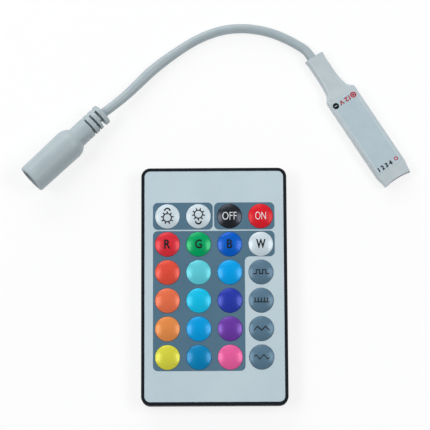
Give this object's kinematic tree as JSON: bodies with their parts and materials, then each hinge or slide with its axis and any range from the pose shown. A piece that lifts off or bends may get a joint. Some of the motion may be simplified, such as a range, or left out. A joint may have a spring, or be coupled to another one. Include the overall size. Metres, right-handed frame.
{
  "type": "led strip controller",
  "caption": "LED strip controller: sleeved in-line receiver with a moulded DC socket on a short lead, and a thin card remote with domed colour keys and a battery drawer.",
  "frame": {"origin": "middle of the remote's back face, on the surface that the set lies on", "axes": "+Z out of the keys, +Y towards the remote's top row of keys, +X to its right"},
  "size_m": [0.1396, 0.1393, 0.0121],
  "materials": {
    "case_black": "fine moulded ABS, satin",
    "printed_film": "printed polyester film, satin",
    "key_white_film": "domed polyester, satin gloss",
    "key_black_film": "domed polyester, satin gloss",
    "key_red_film": "domed polyester, satin gloss",
    "key_green_film": "domed polyester, satin gloss",
    "key_blue_film": "domed polyester, satin gloss",
    "key_vermilion_film": "domed polyester, satin gloss",
    "key_turquoise_film": "domed polyester, satin gloss",
    "key_sky_blue_film": "domed polyester, satin gloss",
    "key_coral_film": "domed polyester, satin gloss",
    "key_cyan_film": "domed polyester, satin gloss",
    "key_indigo_film": "domed polyester, satin gloss",
    "key_amber_film": "domed polyester, satin gloss",
    "key_azure_film": "domed polyester, satin gloss",
    "key_violet_film": "domed polyester, satin gloss",
    "key_yellow_film": "domed polyester, satin gloss",
    "key_teal_film": "domed polyester, satin gloss",
    "key_pink_film": "domed polyester, satin gloss",
    "key_slate_film": "domed polyester, satin gloss",
    "circuit_board": "glass-epoxy board under green solder mask",
    "tinned_steel": "bright tin plate",
    "coin_cell_steel": "satin nickel plate",
    "chip_black": "moulded epoxy",
    "passives": "fired ceramic with tin ends",
    "copper": "enamelled or solder-masked copper",
    "sleeve_white": "heat-shrunk PVC, soft sheen",
    "label_paper": "coated paper label",
    "header_black": "moulded nylon",
    "gilt_brass": "flash gilt over nickel",
    "lead_white": "PVC sheath, satin",
    "wire_red": "PVC insulation",
    "wire_black": "PVC insulation",
    "moulding_white": "over-moulded PVC, satin"
  },
  "bodies": {
    "handset": {"case_back": "case_black", "case_front": "case_black", "front_film": "printed_film", "handset_board": "circuit_board", "snap_domes": "tinned_steel", "encoder_chip": "chip_black", "resonator_can": "tinned_steel", "handset_passives": "passives", "loop_antenna": "copper", "cell_contact_minus": "tinned_steel", "cell_contact_plus": "tinned_steel", "shrink_sleeve": "sleeve_white", "rating_label": "label_paper", "receiver_board": "circuit_board", "output_mosfets": "chip_black", "micro_controller": "chip_black", "rf_receiver_chip": "chip_black", "crystal_can": "tinned_steel", "voltage_regulator": "chip_black", "receiver_passives": "passives", "receiver_antenna": "copper", "output_header": "header_black", "header_contacts": "gilt_brass", "lead_tail": "lead_white", "wire_positive": "wire_red", "wire_negative": "wire_black", "power_lead": "lead_white", "socket_moulding": "moulding_white", "socket_insert": "header_black", "socket_pin": "gilt_brass", "socket_spring": "tinned_steel"},
    "key_brighter": {"key_brighter": "key_white_film"},
    "key_dimmer": {"key_dimmer": "key_white_film"},
    "key_off": {"key_off": "key_black_film"},
    "key_on": {"key_on": "key_red_film"},
    "key_red": {"key_red": "key_red_film"},
    "key_green": {"key_green": "key_green_film"},
    "key_blue": {"key_blue": "key_blue_film"},
    "key_white": {"key_white": "key_white_film"},
    "key_vermilion": {"key_vermilion": "key_vermilion_film"},
    "key_turquoise": {"key_turquoise": "key_turquoise_film"},
    "key_sky_blue": {"key_sky_blue": "key_sky_blue_film"},
    "key_flash": {"key_flash": "key_slate_film"},
    "key_coral": {"key_coral": "key_coral_film"},
    "key_cyan": {"key_cyan": "key_cyan_film"},
    "key_indigo": {"key_indigo": "key_indigo_film"},
    "key_strobe": {"key_strobe": "key_slate_film"},
    "key_amber": {"key_amber": "key_amber_film"},
    "key_azure": {"key_azure": "key_azure_film"},
    "key_violet": {"key_violet": "key_violet_film"},
    "key_fade": {"key_fade": "key_slate_film"},
    "key_yellow": {"key_yellow": "key_yellow_film"},
    "key_teal": {"key_teal": "key_teal_film"},
    "key_pink": {"key_pink": "key_pink_film"},
    "key_smooth": {"key_smooth": "key_slate_film"},
    "battery_drawer": {"battery_tray": "case_black", "coin_cell": "coin_cell_steel"}
  },
  "joints": [
    {"name": "key_brighter_press", "type": "slide", "parent": "handset", "child": "key_brighter", "axis": [0, 0, -1], "range_m": [0, 0.0002], "stiffness_N_per_m": 6000, "deforming": ["snap_domes"]},
    {"name": "key_dimmer_press", "type": "slide", "parent": "handset", "child": "key_dimmer", "axis": [0, 0, -1], "range_m": [0, 0.0002], "stiffness_N_per_m": 6000, "deforming": ["snap_domes"]},
    {"name": "key_off_press", "type": "slide", "parent": "handset", "child": "key_off", "axis": [0, 0, -1], "range_m": [0, 0.0002], "stiffness_N_per_m": 6000, "deforming": ["snap_domes"]},
    {"name": "key_on_press", "type": "slide", "parent": "handset", "child": "key_on", "axis": [0, 0, -1], "range_m": [0, 0.0002], "stiffness_N_per_m": 6000, "deforming": ["snap_domes"]},
    {"name": "key_red_press", "type": "slide", "parent": "handset", "child": "key_red", "axis": [0, 0, -1], "range_m": [0, 0.0002], "stiffness_N_per_m": 6000, "deforming": ["snap_domes"]},
    {"name": "key_green_press", "type": "slide", "parent": "handset", "child": "key_green", "axis": [0, 0, -1], "range_m": [0, 0.0002], "stiffness_N_per_m": 6000, "deforming": ["snap_domes"]},
    {"name": "key_blue_press", "type": "slide", "parent": "handset", "child": "key_blue", "axis": [0, 0, -1], "range_m": [0, 0.0002], "stiffness_N_per_m": 6000, "deforming": ["snap_domes"]},
    {"name": "key_white_press", "type": "slide", "parent": "handset", "child": "key_white", "axis": [0, 0, -1], "range_m": [0, 0.0002], "stiffness_N_per_m": 6000, "deforming": ["snap_domes"]},
    {"name": "key_vermilion_press", "type": "slide", "parent": "handset", "child": "key_vermilion", "axis": [0, 0, -1], "range_m": [0, 0.0002], "stiffness_N_per_m": 6000, "deforming": ["snap_domes"]},
    {"name": "key_turquoise_press", "type": "slide", "parent": "handset", "child": "key_turquoise", "axis": [0, 0, -1], "range_m": [0, 0.0002], "stiffness_N_per_m": 6000, "deforming": ["snap_domes"]},
    {"name": "key_sky_blue_press", "type": "slide", "parent": "handset", "child": "key_sky_blue", "axis": [0, 0, -1], "range_m": [0, 0.0002], "stiffness_N_per_m": 6000, "deforming": ["snap_domes"]},
    {"name": "key_flash_press", "type": "slide", "parent": "handset", "child": "key_flash", "axis": [0, 0, -1], "range_m": [0, 0.0002], "stiffness_N_per_m": 6000, "deforming": ["snap_domes"]},
    {"name": "key_coral_press", "type": "slide", "parent": "handset", "child": "key_coral", "axis": [0, 0, -1], "range_m": [0, 0.0002], "stiffness_N_per_m": 6000, "deforming": ["snap_domes"]},
    {"name": "key_cyan_press", "type": "slide", "parent": "handset", "child": "key_cyan", "axis": [0, 0, -1], "range_m": [0, 0.0002], "stiffness_N_per_m": 6000, "deforming": ["snap_domes"]},
    {"name": "key_indigo_press", "type": "slide", "parent": "handset", "child": "key_indigo", "axis": [0, 0, -1], "range_m": [0, 0.0002], "stiffness_N_per_m": 6000, "deforming": ["snap_domes"]},
    {"name": "key_strobe_press", "type": "slide", "parent": "handset", "child": "key_strobe", "axis": [0, 0, -1], "range_m": [0, 0.0002], "stiffness_N_per_m": 6000, "deforming": ["snap_domes"]},
    {"name": "key_amber_press", "type": "slide", "parent": "handset", "child": "key_amber", "axis": [0, 0, -1], "range_m": [0, 0.0002], "stiffness_N_per_m": 6000, "deforming": ["snap_domes"]},
    {"name": "key_azure_press", "type": "slide", "parent": "handset", "child": "key_azure", "axis": [0, 0, -1], "range_m": [0, 0.0002], "stiffness_N_per_m": 6000, "deforming": ["snap_domes"]},
    {"name": "key_violet_press", "type": "slide", "parent": "handset", "child": "key_violet", "axis": [0, 0, -1], "range_m": [0, 0.0002], "stiffness_N_per_m": 6000, "deforming": ["snap_domes"]},
    {"name": "key_fade_press", "type": "slide", "parent": "handset", "child": "key_fade", "axis": [0, 0, -1], "range_m": [0, 0.0002], "stiffness_N_per_m": 6000, "deforming": ["snap_domes"]},
    {"name": "key_yellow_press", "type": "slide", "parent": "handset", "child": "key_yellow", "axis": [0, 0, -1], "range_m": [0, 0.0002], "stiffness_N_per_m": 6000, "deforming": ["snap_domes"]},
    {"name": "key_teal_press", "type": "slide", "parent": "handset", "child": "key_teal", "axis": [0, 0, -1], "range_m": [0, 0.0002], "stiffness_N_per_m": 6000, "deforming": ["snap_domes"]},
    {"name": "key_pink_press", "type": "slide", "parent": "handset", "child": "key_pink", "axis": [0, 0, -1], "range_m": [0, 0.0002], "stiffness_N_per_m": 6000, "deforming": ["snap_domes"]},
    {"name": "key_smooth_press", "type": "slide", "parent": "handset", "child": "key_smooth", "axis": [0, 0, -1], "range_m": [0, 0.0002], "stiffness_N_per_m": 6000, "deforming": ["snap_domes"]},
    {"name": "battery_drawer_slide", "type": "slide", "parent": "handset", "child": "battery_drawer", "axis": [0, -1, 0], "range_m": [0, 0.022]}
  ]
}
